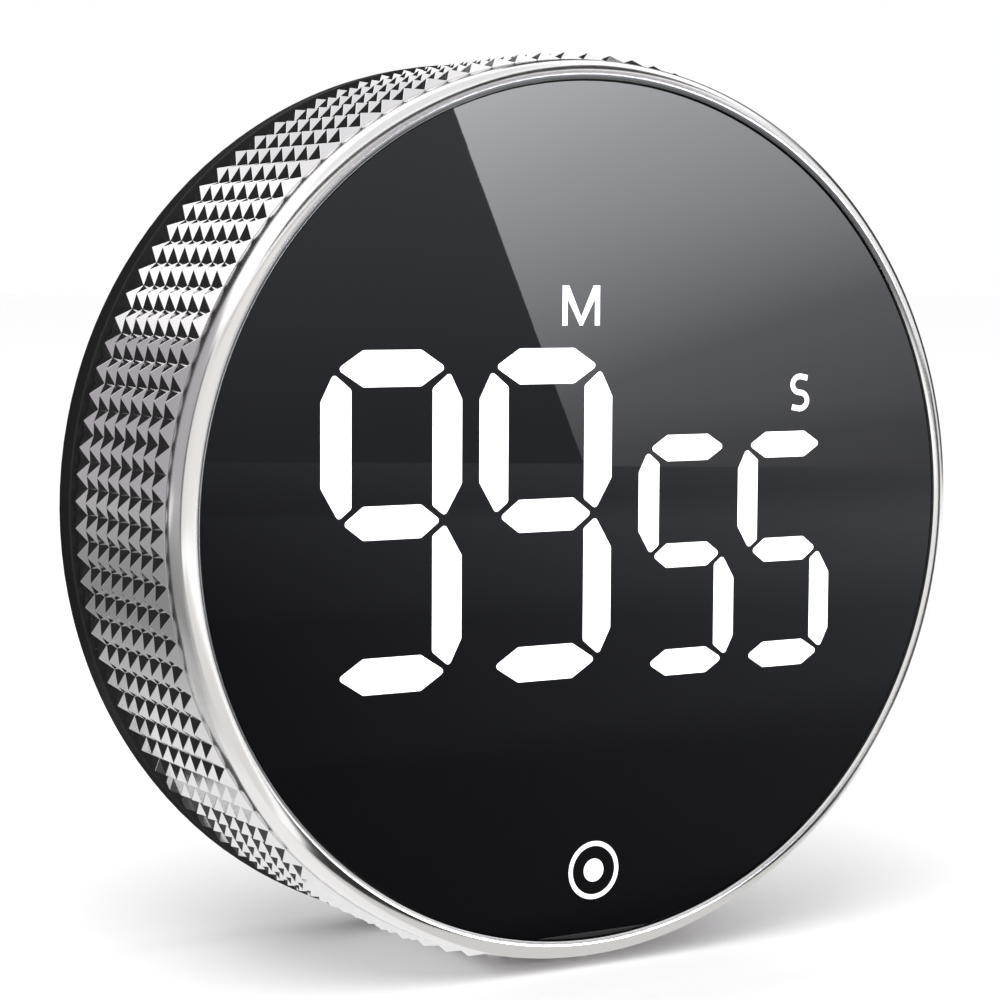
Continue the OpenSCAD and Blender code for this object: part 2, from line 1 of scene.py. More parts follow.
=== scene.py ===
# %% [markdown]
# # A kitchen timer with a knurled dial
# The timer is a puck, 78 mm across and 28.5 mm deep, that hangs by its magnets on a steel door.
# A bright knurled sleeve turns round it, a satin ring frames a gloss black front with lit digits,
# and the back is black plastic with a rubber ring and a battery door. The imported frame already
# holds every piece at its real size. Here each visible piece gets a finer mesh where it needs
# one, and every piece gets a finish of its own.

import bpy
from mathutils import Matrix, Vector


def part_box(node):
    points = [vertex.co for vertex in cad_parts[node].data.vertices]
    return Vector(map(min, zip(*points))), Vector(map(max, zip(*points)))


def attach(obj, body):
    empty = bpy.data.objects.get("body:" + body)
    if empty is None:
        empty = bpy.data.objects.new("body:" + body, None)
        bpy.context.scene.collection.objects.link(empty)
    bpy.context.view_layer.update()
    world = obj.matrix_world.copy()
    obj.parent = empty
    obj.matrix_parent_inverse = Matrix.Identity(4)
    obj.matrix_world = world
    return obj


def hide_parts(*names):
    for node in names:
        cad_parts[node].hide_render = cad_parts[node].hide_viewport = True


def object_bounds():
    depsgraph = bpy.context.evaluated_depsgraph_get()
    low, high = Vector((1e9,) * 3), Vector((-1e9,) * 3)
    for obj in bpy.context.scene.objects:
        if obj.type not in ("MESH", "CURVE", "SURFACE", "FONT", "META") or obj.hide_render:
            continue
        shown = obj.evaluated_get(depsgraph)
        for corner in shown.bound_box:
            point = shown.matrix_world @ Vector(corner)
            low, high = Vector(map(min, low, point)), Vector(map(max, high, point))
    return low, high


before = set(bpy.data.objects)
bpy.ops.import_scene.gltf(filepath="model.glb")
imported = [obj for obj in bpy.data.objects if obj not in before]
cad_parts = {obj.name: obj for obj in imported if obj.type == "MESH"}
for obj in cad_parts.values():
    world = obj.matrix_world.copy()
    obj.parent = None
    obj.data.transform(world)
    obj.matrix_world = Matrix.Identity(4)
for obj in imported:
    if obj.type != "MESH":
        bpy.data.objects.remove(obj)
cad_box = [list(corner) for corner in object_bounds()]
print("frame box in metres", cad_box)

# %% [markdown]
# Lengths are written in millimetres, as on a drawing, and turned into metres in one place.

# %% Tools
import math

import bmesh
import bpy
from mathutils import Matrix, Vector

MM = 0.001
scene = bpy.context.scene
print("one millimetre is", MM, "m")

# %% [markdown]
# Every piece is drawn as it is seen from the front of the timer: x to the right, y up, and
# `out` towards the viewer, in millimetres from the plane that touches the steel door. One helper
# turns such a point into the frame's own axes, and another measures a CAD node the same way,
# so that the sizes below come from the frame.

# %% Points as seen from the front
def seen(x, y, out):
    return Vector((x, -out, y)) * MM


def reach(node):
    """Lowest and highest x, y and out of a CAD node, in mm."""
    low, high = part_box(node)
    return Vector((low.x, low.z, -high.y)) / MM, Vector((high.x, high.z, -low.y)) / MM


BODY_R = reach("rear_housing")[1].x
RIM_OUT = reach("rear_housing")[1].z
PANEL_OUT = reach("display_panel")[1].z
CROWN_OUT = reach("bezel_ring")[1].z
BEZEL_R = reach("bezel_ring")[1].x
print(f"body {BODY_R:.2f}, rim {RIM_OUT:.2f}, panel {PANEL_OUT:.2f}, crown {CROWN_OUT:.2f} mm")

# %% [markdown]
# ## Camera
# The viewer stands about 30 degrees to the left and a little above, close enough for the left
# wall of the dial to show, with a mild telephoto lens and a trace of roll.

# %% Camera
VIEW_TURN = math.radians(-30.28)
VIEW_RISE = math.radians(4.92)
VIEW_ROLL = math.radians(0.30)
VIEW_DISTANCE = 217.57
FILM_WIDTH = 36
FOCAL_LENGTH = 94.66

aim = seen(-9.367, 1.611, PANEL_OUT)
towards_viewer = Vector((
    math.sin(VIEW_TURN) * math.cos(VIEW_RISE),
    -math.cos(VIEW_TURN) * math.cos(VIEW_RISE),
    math.sin(VIEW_RISE),
))
level = Vector((math.cos(VIEW_TURN), math.sin(VIEW_TURN), 0))
upright = towards_viewer.cross(level)
across = level * math.cos(VIEW_ROLL) + upright * math.sin(VIEW_ROLL)
above = upright * math.cos(VIEW_ROLL) - level * math.sin(VIEW_ROLL)

camera_data = bpy.data.cameras.new("camera")
camera_data.sensor_width = FILM_WIDTH
camera_data.lens = FOCAL_LENGTH
camera_data.clip_start = 0.01
camera_data.clip_end = 20
camera = bpy.data.objects.new("camera", camera_data)
scene.collection.objects.link(camera)
camera.matrix_world = Matrix((across, above, towards_viewer)).transposed().to_4x4()
camera.location = aim + towards_viewer * VIEW_DISTANCE * MM
scene.camera = camera
scene.view_settings.view_transform = "Standard"
print("camera at", [round(v, 4) for v in camera.location])

# %% [markdown]
# ## Studio
# Polished metal shows the room more than itself, so the room is part of the finish. The
# backdrop is plain white. What the metal and the gloss front see instead is a room with a bright
# ceiling and softer grey walls, painted on the world by height. A light path node keeps the two
# apart.

# %% The room
WALL_GREY = (0.34, 0.325, 0.345)
CEILING_WHITE = (1, 1, 1)
CEILING_TOP = (0.66, 0.66, 0.67)
ROOM_STRENGTH = 1.35
ROOM_COLOURS = [(0.0, WALL_GREY), (0.50, WALL_GREY), (0.56, CEILING_WHITE),
                (0.86, CEILING_WHITE), (0.93, CEILING_TOP)]


def room_world():
    world = bpy.data.worlds.new("studio")
    world.use_nodes = True
    tree = world.node_tree
    tree.nodes.clear()
    direction_in = tree.nodes.new("ShaderNodeTexCoord")
    split = tree.nodes.new("ShaderNodeSeparateXYZ")
    tree.links.new(direction_in.outputs["Generated"], split.inputs[0])
    ramp = tree.nodes.new("ShaderNodeValToRGB")
    tree.links.new(split.outputs["Z"], ramp.inputs["Fac"])
    stops = ramp.color_ramp.elements
    while len(stops) < len(ROOM_COLOURS):
        stops.new(0.5)
    for stop, (place, colour) in zip(stops, ROOM_COLOURS):
        stop.position = place
        stop.color = (*colour, 1)
    room = tree.nodes.new("ShaderNodeBackground")
    room.inputs["Strength"].default_value = ROOM_STRENGTH
    tree.links.new(ramp.outputs["Color"], room.inputs["Color"])
    backdrop = tree.nodes.new("ShaderNodeBackground")
    backdrop.inputs["Color"].default_value = (1, 1, 1, 1)
    path = tree.nodes.new("ShaderNodeLightPath")
    choose = tree.nodes.new("ShaderNodeMixShader")
    tree.links.new(path.outputs["Is Camera Ray"], choose.inputs["Fac"])
    tree.links.new(room.outputs[0], choose.inputs[1])
    tree.links.new(backdrop.outputs[0], choose.inputs[2])
    out = tree.nodes.new("ShaderNodeOutputWorld")
    tree.links.new(choose.outputs[0], out.inputs["Surface"])
    scene.world = world


room_world()
print("world: white backdrop, room with a bright ceiling")

# %% [markdown]
# Cards stand around the timer as they would on a product table: dark ones give the knurl its
# black facets and the ring its dark edge, white ones give the crown its highlight, and a tall
# bright one to the front right shows as a slanted glare in the gloss panel. They show only in
# reflections. Each card is a stack of strips whose corners carry their own brightness, so that a
# card can fade from one side to the other.

# %% A card that shows only in reflections
FLOOR_Y = cad_box[0][2] / MM
LAID = FLOOR_Y + 0.3
LAID_OVER = FLOOR_Y + 0.4
BEHIND = -45
BLACK_CARD = 0.025
COOL = (0.95, 1.0, 1.1)
WARM = (1, 0.985, 0.96)


def card_material():
    material = bpy.data.materials.new("card_light")
    material.use_nodes = True
    tree = material.node_tree
    tree.nodes.clear()
    glow = tree.nodes.new("ShaderNodeAttribute")
    glow.attribute_name = "glow"
    light = tree.nodes.new("ShaderNodeEmission")
    tree.links.new(glow.outputs["Color"], light.inputs["Color"])
    out = tree.nodes.new("ShaderNodeOutputMaterial")
    tree.links.new(light.outputs[0], out.inputs["Surface"])
    return material


CARD_LIGHT = card_material()


def even(level):
    """Rows of a card that is the same all over."""
    return [(0, level, level), (1, level, level)]


def card(name, corners, rows, tint=(1, 1, 1)):
    """A card through four corners in mm; each row is a height share, left and right glow."""
    low_left, low_right, high_right, high_left = [seen(*c) for c in corners]
    mesh = bpy.data.meshes.new(name)
    spots, levels, faces = [], [], []
    for n, (share, glow_left, glow_right) in enumerate(rows):
        spots += [low_left.lerp(high_left, share), low_right.lerp(high_right, share)]
        levels += [glow_left, glow_right]
        if n:
            faces.append((2 * n - 2, 2 * n - 1, 2 * n + 1, 2 * n))
    mesh.from_pydata(spots, [], faces)
    paint = mesh.color_attributes.new("glow", "FLOAT_COLOR", "POINT")
    for i, shade in enumerate(levels):
        paint.data[i].color = (*(shade * t for t in tint), 1)
    mesh.materials.append(CARD_LIGHT)
    piece = bpy.data.objects.new(name, mesh)
    scene.collection.objects.link(piece)
    piece.visible_camera = False
    piece.visible_diffuse = False
    piece.visible_shadow = False


print("card light:", CARD_LIGHT.name)

# %% [markdown]
# The gloss front mirrors what stands to the front right. A floor card and a low wall make the
# soft grey at its foot, and a tall bright card with a slanted edge is the glare.

# %% Cards for the gloss front
card("card_lens_near",
     [(-31, LAID_OVER, 37), (48, LAID_OVER, 37), (160, LAID_OVER, 90), (0, LAID_OVER, 120)],
     [(0, 0.0, 0.0), (1, 0.0, 0.3)])
card("card_lens_low",
     [(0, LAID_OVER, 120), (160, LAID_OVER, 90), (520, LAID_OVER, 430),
      (180, LAID_OVER, 630)],
     [(0, 0.0, 0.3), (0.25, 0.0, 0.75), (0.6, 0.1, 1.4), (1, 0.28, 1.2)], COOL)
card("card_lens_wall",
     [(185, FLOOR_Y, 610), (460, FLOOR_Y, 450), (460, 85, 450), (185, 85, 610)],
     [(0, 0.28, 0.4), (0.2, 0.38, 0.42), (0.43, 0.56, 0.6), (1, 0.86, 0.95)], COOL)
card("card_glare",
     [(313, -46, 523), (450, -46, 444), (450, 130, 444), (256, 130, 556)],
     [(0, 1.0, 0.7), (0.06, 1.3, 0.75), (0.16, 2.1, 0.9), (0.5, 7.0, 2.1), (1, 15.6, 7.6)],
     (0.98, 1.0, 1.05))

# %% [markdown]
# Half the facets of the knurl look back past the timer and half look forward along its left
# side. Dark cards behind and pale ones on the floor to the left give each point its black and
# its white side.

# %% Cards for the knurl
card("card_behind",
     [(-78, FLOOR_Y, BEHIND), (66, FLOOR_Y, BEHIND), (66, 78, BEHIND), (-78, 78, BEHIND)],
     even(BLACK_CARD))
card("card_behind_low",
     [(-72, LAID, 5), (40, LAID, 5), (40, LAID, BEHIND), (-72, LAID, BEHIND)], even(0.07))
card("card_behind_right",
     [(66, FLOOR_Y, BEHIND), (150, FLOOR_Y, BEHIND), (150, 95, BEHIND), (66, 95, BEHIND)],
     even(BLACK_CARD))
card("card_behind_top",
     [(30, 78, BEHIND), (150, 78, BEHIND), (150, 125, BEHIND), (30, 125, BEHIND)],
     even(BLACK_CARD))
card("card_left_far",
     [(-110, LAID, 60), (-110, LAID, -200), (-2800, LAID, -2500), (-2800, LAID, 300)],
     [(0, 0.27, 0.27), (0.1, 0.44, 0.44), (1, 0.46, 0.46)])
card("card_left_near",
     [(-46, LAID, 40), (-46, LAID, -44), (-110, LAID, -200), (-110, LAID, 60)],
     [(0, 0.95, 0.95), (0.25, 0.75, 0.75), (0.5, 0.5, 0.5), (1, 0.28, 0.28)])
card("card_left_close",
     [(-46, FLOOR_Y + 0.35, 5), (-8, FLOOR_Y + 0.35, 5), (-8, FLOOR_Y + 0.35, 26),
      (-46, LAID, 40)], even(0.95))

# %% [markdown]
# The ring is satin, so it blurs what it sees into bands: a wide white card for its crown, and
# narrow dark ones that draw the fine lines at its inner and outer edge.

# %% Cards for the ring
card("card_right_light",
     [(490, FLOOR_Y, 420), (640, FLOOR_Y, 73), (640, 400, 73), (490, 400, 420)], even(0.93))
card("card_right_dark",
     [(640, FLOOR_Y, 73), (640, FLOOR_Y, -900), (640, 330, -900), (640, 330, 73)], even(0.03))
card("card_floor_rim",
     [(-40, LAID, 26), (60, LAID, 26), (60, LAID, 37), (-40, LAID, 37)], even(0.7),
     (1, 0.99, 0.97))
card("card_inner_edge",
     [(90, FLOOR_Y, 90), (90, FLOOR_Y, 52), (90, 15, 52), (90, 15, 90)], even(0.03))
card("card_floor_front",
     [(-160, LAID, 26), (-40, LAID, 26), (-10, LAID, 150), (-200, LAID, 150)], even(0.8), WARM)
card("card_crown",
     [(-300, -190, 280), (70, -190, 420), (70, 190, 420), (-300, 190, 280)], even(0.9), WARM)
card("card_crown_side",
     [(-320, FLOOR_Y, 75), (-302, FLOOR_Y, 280), (-302, 190, 280), (-320, 190, 75)], even(0.85),
     WARM)
card("card_crease",
     [(-322, FLOOR_Y, 20), (-322, FLOOR_Y, 75), (-322, 170, 75), (-322, 170, 20)], even(0.12))
card("card_strip_left",
     [(-247, 270, 275), (90, 265, 366), (90, 500, 366), (-247, 480, 275)], even(0.02))
card("card_strip_right",
     [(90, 265, 366), (338, 265, 118), (338, 577, 118), (90, 500, 366)], even(0.02))

# %% [markdown]
# The floor is a plain pale sheet that just touches the lowest point of the rim, and one large
# softbox overhead gives the black plastic a soft sheen.

# %% Floor and softbox
FLOOR_SIDE = 6
FLOOR_WHITE = (0.95, 0.95, 0.95, 1)
FLOOR_GLOW = 0.05
SOFTBOX_SIDE = 0.6
SOFTBOX_WATTS = 3.5
SOFTBOX_PLACE = (-0.35, -0.35, 0.75)

floor_mesh = bpy.data.meshes.new("floor")
floor_z = cad_box[0][2]
floor_mesh.from_pydata(
    [(-FLOOR_SIDE, -FLOOR_SIDE, floor_z), (FLOOR_SIDE, -FLOOR_SIDE, floor_z),
     (FLOOR_SIDE, FLOOR_SIDE, floor_z), (-FLOOR_SIDE, FLOOR_SIDE, floor_z)], [], [(0, 1, 2, 3)])
floor_finish = bpy.data.materials.new("pale_floor")
floor_finish.use_nodes = True
floor_skin = floor_finish.node_tree.nodes["Principled BSDF"]
floor_skin.inputs["Base Color"].default_value = FLOOR_WHITE
floor_skin.inputs["Roughness"].default_value = 0.8
floor_skin.inputs["Emission Color"].default_value = (1, 1, 1, 1)
floor_skin.inputs["Emission Strength"].default_value = FLOOR_GLOW
floor_mesh.materials.append(floor_finish)
floor = bpy.data.objects.new("floor", floor_mesh)
scene.collection.objects.link(floor)

softbox_data = bpy.data.lights.new("softbox", "AREA")
softbox_data.size = SOFTBOX_SIDE
softbox_data.energy = SOFTBOX_WATTS
softbox = bpy.data.objects.new("softbox", softbox_data)
scene.collection.objects.link(softbox)
softbox.location = SOFTBOX_PLACE
softbox.rotation_mode = "QUATERNION"
softbox.rotation_quaternion = softbox.location.to_track_quat("Z", "Y")
softbox.visible_glossy = False
print("floor at z", round(floor_z, 4))

# %% [markdown]
# ## Effects that finishes share
# Four node groups hold what more than one finish uses. Each puts out only colours, masks and
# heights, and the shader itself stays in the finish.

# %% Building a node group
def effect(name, inputs, outputs):
    """A new shader node group, with its input and output nodes."""
    group = bpy.data.node_groups.new(name, "ShaderNodeTree")
    for title, kind, value in inputs:
        socket = group.interface.new_socket(title, in_out="INPUT", socket_type=kind)
        socket.default_value = value
    for title, kind in outputs:
        group.interface.new_socket(title, in_out="OUTPUT", socket_type=kind)
    return group, group.nodes.new("NodeGroupInput"), group.nodes.new("NodeGroupOutput")


FLOAT, COLOUR = "NodeSocketFloat", "NodeSocketColor"


def math_node(tree, operation, a, b=None, c=None):
    """A Math node; each operand is a socket or a number."""
    node = tree.nodes.new("ShaderNodeMath")
    node.operation = operation
    for socket, value in zip(node.inputs, (a, b, c)):
        if isinstance(value, bpy.types.NodeSocket):
            tree.links.new(value, socket)
        elif value is not None:
            socket.default_value = value
    return node.outputs[0]


def noise(tree, vector, scale, detail=3.0, roughness=0.5):
    node = tree.nodes.new("ShaderNodeTexNoise")
    node.inputs["Detail"].default_value = detail
    node.inputs["Roughness"].default_value = roughness
    tree.links.new(vector, node.inputs["Vector"])
    if isinstance(scale, bpy.types.NodeSocket):
        tree.links.new(scale, node.inputs["Scale"])
    else:
        node.inputs["Scale"].default_value = scale
    return node.outputs["Fac"]


def mix_colour(tree, factor, a, b):
    node = tree.nodes.new("ShaderNodeMix")
    node.data_type = "RGBA"
    tree.links.new(factor, node.inputs["Factor"])
    for socket, value in ((node.inputs["A"], a), (node.inputs["B"], b)):
        if isinstance(value, bpy.types.NodeSocket):
            tree.links.new(value, socket)
        else:
            socket.default_value = (*value, 1)
    return node.outputs["Result"]


print("node helpers:", effect.__name__, math_node.__name__, noise.__name__, mix_colour.__name__)

# %% [markdown]
# Moulded plastic and cast rubber carry the fine grain of their mould: soft bumps well under a
# millimetre across, which also scatter the gloss a little.

# %% Grain of the mould
def make_grain():
    group, given, made = effect(
        "mould_grain",
        [("Grains per m", FLOAT, 4000.0), ("Gloss", FLOAT, 0.4), ("Gloss Spread", FLOAT, 0.1)],
        [("Height", FLOAT), ("Roughness", FLOAT)])
    place = group.nodes.new("ShaderNodeTexCoord").outputs["Object"]
    fine = noise(group, place, given.outputs["Grains per m"], 3)
    broad = noise(group, place, 90.0, 4, 0.6)
    group.links.new(fine, made.inputs["Height"])
    both = math_node(group, "ADD", fine, broad)
    swing = math_node(group, "SUBTRACT", both, 1.0)
    gloss = math_node(group, "MULTIPLY_ADD", swing, given.outputs["Gloss Spread"],
                      given.outputs["Gloss"])
    group.links.new(gloss, made.inputs["Roughness"])
    return group


MOULD_GRAIN = make_grain()
print(MOULD_GRAIN.name, "has", len(MOULD_GRAIN.nodes), "nodes")

# %% [markdown]
# Turned metal keeps the marks of the tool: very fine rings about the timer's own axis. The
# distance from the axis and the depth drive a stretched noise, so the rings never repeat.

# %% Marks of the turning tool
DRIFT_ROUND = 0.0004


def make_turned():
    group, given, made = effect(
        "turned_marks",
        [("Rings per m", FLOAT, 9000.0), ("Gloss", FLOAT, 0.15), ("Gloss Spread", FLOAT, 0.1)],
        [("Height", FLOAT), ("Roughness", FLOAT)])
    place = group.nodes.new("ShaderNodeTexCoord").outputs["Object"]
    split = group.nodes.new("ShaderNodeSeparateXYZ")
    group.links.new(place, split.inputs[0])
    x2 = math_node(group, "POWER", split.outputs["X"], 2.0)
    z2 = math_node(group, "POWER", split.outputs["Z"], 2.0)
    distance = math_node(group, "SQRT", math_node(group, "ADD", x2, z2))
    turn = math_node(group, "ARCTAN2", split.outputs["Z"], split.outputs["X"])
    ring = group.nodes.new("ShaderNodeCombineXYZ")
    group.links.new(distance, ring.inputs["X"])
    group.links.new(split.outputs["Y"], ring.inputs["Y"])
    group.links.new(math_node(group, "MULTIPLY", turn, DRIFT_ROUND), ring.inputs["Z"])
    marks = noise(group, ring.outputs[0], given.outputs["Rings per m"], 2)
    patches = noise(group, place, 120.0, 3)
    group.links.new(marks, made.inputs["Height"])
    swing = math_node(group, "SUBTRACT", math_node(group, "ADD", marks, patches), 1.0)
    gloss = math_node(group, "MULTIPLY_ADD", swing, given.outputs["Gloss Spread"],
                      given.outputs["Gloss"])
    group.links.new(gloss, made.inputs["Roughness"])
    return group


TURNED_MARKS = make_turned()
print(TURNED_MARKS.name, "has", len(TURNED_MARKS.nodes), "nodes")

# %% [markdown]
# A timer is handled with kitchen fingers, so smooth surfaces show faint smears and a few specks
# of dust. They change the gloss, and lighten the colour only a little.

# %% Smears and dust
DUST_COLOUR = (0.45, 0.44, 0.42)
DUST_AMONG = 0.74
DUST_DULLS = 0.3


def make_handling():
    group, given, made = effect(
        "handling",
        [("Color", COLOUR, (0.5, 0.5, 0.5, 1)), ("Roughness", FLOAT, 0.1),
         ("Smear", FLOAT, 0.05), ("Dust", FLOAT, 0.1)],
        [("Color", COLOUR), ("Roughness", FLOAT)])
    place = group.nodes.new("ShaderNodeTexCoord").outputs["Object"]
    smear = noise(group, place, 55.0, 5, 0.65)
    smear = math_node(group, "MULTIPLY", smear, smear)
    specks = noise(group, place, 2600.0, 2)
    specks = math_node(group, "GREATER_THAN", specks, DUST_AMONG)
    dust = math_node(group, "MULTIPLY", specks, given.outputs["Dust"])
    group.links.new(mix_colour(group, dust, given.outputs["Color"], DUST_COLOUR),
                    made.inputs["Color"])
    rough = math_node(group, "MULTIPLY_ADD", smear, given.outputs["Smear"],
                      given.outputs["Roughness"])
    group.links.new(math_node(group, "MULTIPLY_ADD", dust, DUST_DULLS, rough),
                    made.inputs["Roughness"])
    return group


HANDLING = make_handling()
print(HANDLING.name, "has", len(HANDLING.nodes), "nodes")

# %% [markdown]
# Edges that are touched wear first. The worn mask compares the surface's own direction with a
# softly rounded one: where they differ, there is an edge.

# %% Worn edges
WORN_REACH = 0.4 * MM
EDGE_GAIN = 6


def make_wear():
    group, given, made = effect(
        "edge_wear",
        [("Color", COLOUR, (0.1, 0.1, 0.1, 1)), ("Worn Color", COLOUR, (0.2, 0.2, 0.2, 1)),
         ("Amount", FLOAT, 0.5)],
        [("Color", COLOUR), ("Mask", FLOAT)])
    rounded = group.nodes.new("ShaderNodeBevel")
    rounded.samples = 4
    rounded.inputs["Radius"].default_value = WORN_REACH
    surface = group.nodes.new("ShaderNodeNewGeometry")
    same = group.nodes.new("ShaderNodeVectorMath")
    same.operation = "DOT_PRODUCT"
    group.links.new(rounded.outputs["Normal"], same.inputs[0])
    group.links.new(surface.outputs["Normal"], same.inputs[1])
    apart = math_node(group, "SUBTRACT", 1.0, same.outputs["Value"])
    edge = math_node(group, "MULTIPLY", apart, EDGE_GAIN)
    place = group.nodes.new("ShaderNodeTexCoord").outputs["Object"]
    broken = math_node(group, "MULTIPLY", edge, noise(group, place, 900.0, 4, 0.7))
    mask = math_node(group, "MINIMUM", math_node(group, "MULTIPLY", broken,
                                                 given.outputs["Amount"]), 1.0)
    group.links.new(mask, made.inputs["Mask"])
    group.links.new(mix_colour(group, mask, given.outputs["Color"], given.outputs["Worn Color"]),
                    made.inputs["Color"])
    return group


EDGE_WEAR = make_wear()
print("node groups:", [g.name for g in bpy.data.node_groups])

# %% [markdown]
# ## Finishes
# Most finishes are one Principled shader fed by two or three of these groups, so one function
# builds them all from their values. The uniform values sit on the shader itself.

# %% One finish from its values
def place_group(tree, group, **values):
    node = tree.nodes.new("ShaderNodeGroup")
    node.node_tree = group
    for title, value in values.items():
        socket = node.inputs[title.replace("_", " ")]
        if isinstance(value, bpy.types.NodeSocket):
            tree.links.new(value, socket)
        else:
            socket.default_value = (*value, 1) if isinstance(value, tuple) else value
    return node


def finish(name, colour, gloss, metal=0.0, grains=4000.0, spread=0.1, height=0.00002,
           turned=False, smear=0.0, dust=0.0, worn=None, mottle=0.12, **shader):
    """A Principled finish: base colour, roughness and the values of the shared effects."""
    material = bpy.data.materials.new(name)
    material.use_nodes = True
    tree = material.node_tree
    skin = tree.nodes["Principled BSDF"]
    skin.inputs["Metallic"].default_value = metal
    for title, value in shader.items():
        skin.inputs[title.replace("_", " ")].default_value = value
    if turned:
        marks = place_group(tree, TURNED_MARKS, Rings_per_m=grains, Gloss=gloss,
                            Gloss_Spread=spread)
    else:
        marks = place_group(tree, MOULD_GRAIN, Grains_per_m=grains, Gloss=gloss,
                            Gloss_Spread=spread)
    place = tree.nodes.new("ShaderNodeTexCoord").outputs["Object"]
    shade = noise(tree, place, 160.0, 4, 0.6)
    darker = tuple(c * (1 - mottle) for c in colour)
    tint = mix_colour(tree, shade, darker, tuple(min(1.0, c * (1 + mottle)) for c in colour))
    if worn:
        tint = place_group(tree, EDGE_WEAR, Color=tint, Worn_Color=worn[:3],
                           Amount=worn[3]).outputs["Color"]
    used = place_group(tree, HANDLING, Color=tint, Roughness=marks.outputs["Roughness"],
                       Smear=smear, Dust=dust)
    tree.links.new(used.outputs["Color"], skin.inputs["Base Color"])
    tree.links.new(used.outputs["Roughness"], skin.inputs["Roughness"])
    bump = tree.nodes.new("ShaderNodeBump")
    bump.inputs["Strength"].default_value = 1.0
    bump.inputs["Distance"].default_value = height
    tree.links.new(marks.outputs["Height"], bump.inputs["Height"])
    tree.links.new(bump.outputs["Normal"], skin.inputs["Normal"])
    return material


def dress(node, material):
    """Give a CAD node that keeps its own mesh a finish."""
    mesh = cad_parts[node].data
    mesh.materials.clear()
    mesh.materials.append(material)


print("finishes share", [g.name for g in bpy.data.node_groups])

# %% [markdown]
# Black ABS has a fine satin grain, and its corners polish a little where they rub. The rubber
# ring is deeper black and duller. The parts inside are plainer plastics.

# %% Plastics and rubber
BLACK_ABS = finish("black_abs", (0.006, 0.006, 0.0065), 0.42, grains=5200, spread=0.14,
                   height=0.000016, smear=0.08, dust=0.12, worn=(0.03, 0.03, 0.032, 0.5),
                   Specular_IOR_Level=0.3)
DOOR_ABS = finish("door_abs", (0.009, 0.009, 0.01), 0.36, grains=5200, spread=0.14,
                  height=0.000013, smear=0.1, dust=0.12, worn=(0.04, 0.04, 0.042, 0.6))
GRIP_RUBBER = finish("grip_rubber", (0.012, 0.012, 0.012), 0.72, grains=7000, spread=0.1,
                     height=0.00003, dust=0.5, Specular_IOR_Level=0.35)
KNOB_PLASTIC = finish("knob_plastic", (0.035, 0.035, 0.038), 0.38, grains=5000, spread=0.12,
                      height=0.00001, smear=0.1, worn=(0.09, 0.09, 0.095, 0.8))
FRAME_PLASTIC = finish("frame_plastic", (0.03, 0.031, 0.034), 0.5, grains=3800, spread=0.15,
                       dust=0.15)
GEAR_PLASTIC = finish("gear_plastic", (0.05, 0.052, 0.058), 0.42, grains=3500, spread=0.15,
                      smear=0.15)
PINION_NYLON = finish("pinion_nylon", (0.78, 0.77, 0.7), 0.45, grains=3500, spread=0.15,
                      Subsurface_Weight=0.15, Subsurface_Scale=0.001)
LED_BODY = finish("led_body", (0.8, 0.78, 0.7), 0.4, grains=6000, spread=0.1)
DIFFUSER = finish("diffuser", (0.85, 0.85, 0.85), 0.55, grains=9000, spread=0.1)
CHIP_RESIN = finish("chip_resin", (0.02, 0.02, 0.022), 0.55, grains=9000, spread=0.15, dust=0.1)
ENCODER_BLUE = finish("encoder_blue", (0.04, 0.1, 0.22), 0.45, grains=5000, spread=0.12)
CERAMIC = finish("passive_ceramic", (0.45, 0.33, 0.18), 0.4, grains=8000, spread=0.12)
BOARD_GREEN = finish("board_green", (0.015, 0.1, 0.05), 0.28, grains=6000, spread=0.15,
                     dust=0.15, Coat_Weight=0.5, Coat_Roughness=0.15)
WIRE_RED = finish("wire_red", (0.4, 0.02, 0.02), 0.45, grains=3000, spread=0.1)
print("plastic finishes ready")

# %% [markdown]
# The sleeve is bright and only faintly hazed, the ring is satin with fine rings of turning, and
# the screws, magnets and contacts are plated steel.

# %% Metals
KNURL_CHROME = finish("knurl_chrome", (0.83, 0.815, 0.825), 0.06, metal=1.0, grains=14000,
                      spread=0.05, height=0.000003, mottle=0.03, smear=0.04)
BEZEL_METAL = finish("bezel_metal", (0.86, 0.85, 0.845), 0.17, metal=1.0, grains=16000,
                     spread=0.06, height=0.0000012, turned=True, mottle=0.02, smear=0.05)
SCREW_STEEL = finish("screw_steel", (0.55, 0.56, 0.58), 0.3, metal=1.0, grains=6000, spread=0.15,
                     height=0.000006, worn=(0.8, 0.8, 0.82, 0.6))
MAGNET_NICKEL = finish("magnet_nickel", (0.72, 0.71, 0.69), 0.17, metal=1.0, grains=5000,
                       spread=0.1, height=0.000003, smear=0.25, worn=(0.5, 0.47, 0.42, 0.5))
CONTACT_STEEL = finish("contact_steel", (0.62, 0.63, 0.65), 0.27, metal=1.0, grains=6000,
                       spread=0.15, height=0.000004, smear=0.1)
print("metal finishes ready")

# %% [markdown]
# The front is black acrylic: nearly no colour of its own, a hard polish, and a trace of smears
# that only a reflection shows. The lit segments glow white, and the printed letters are given a
# painted glow so that they shine white.

# %% Gloss front and its white marks
PANEL_GLOSS = finish("panel_gloss", (0.0048, 0.0048, 0.006), 0.006, grains=400, spread=0.004,
                     height=0.0000002, smear=0.012, dust=0.01, IOR=1.5)


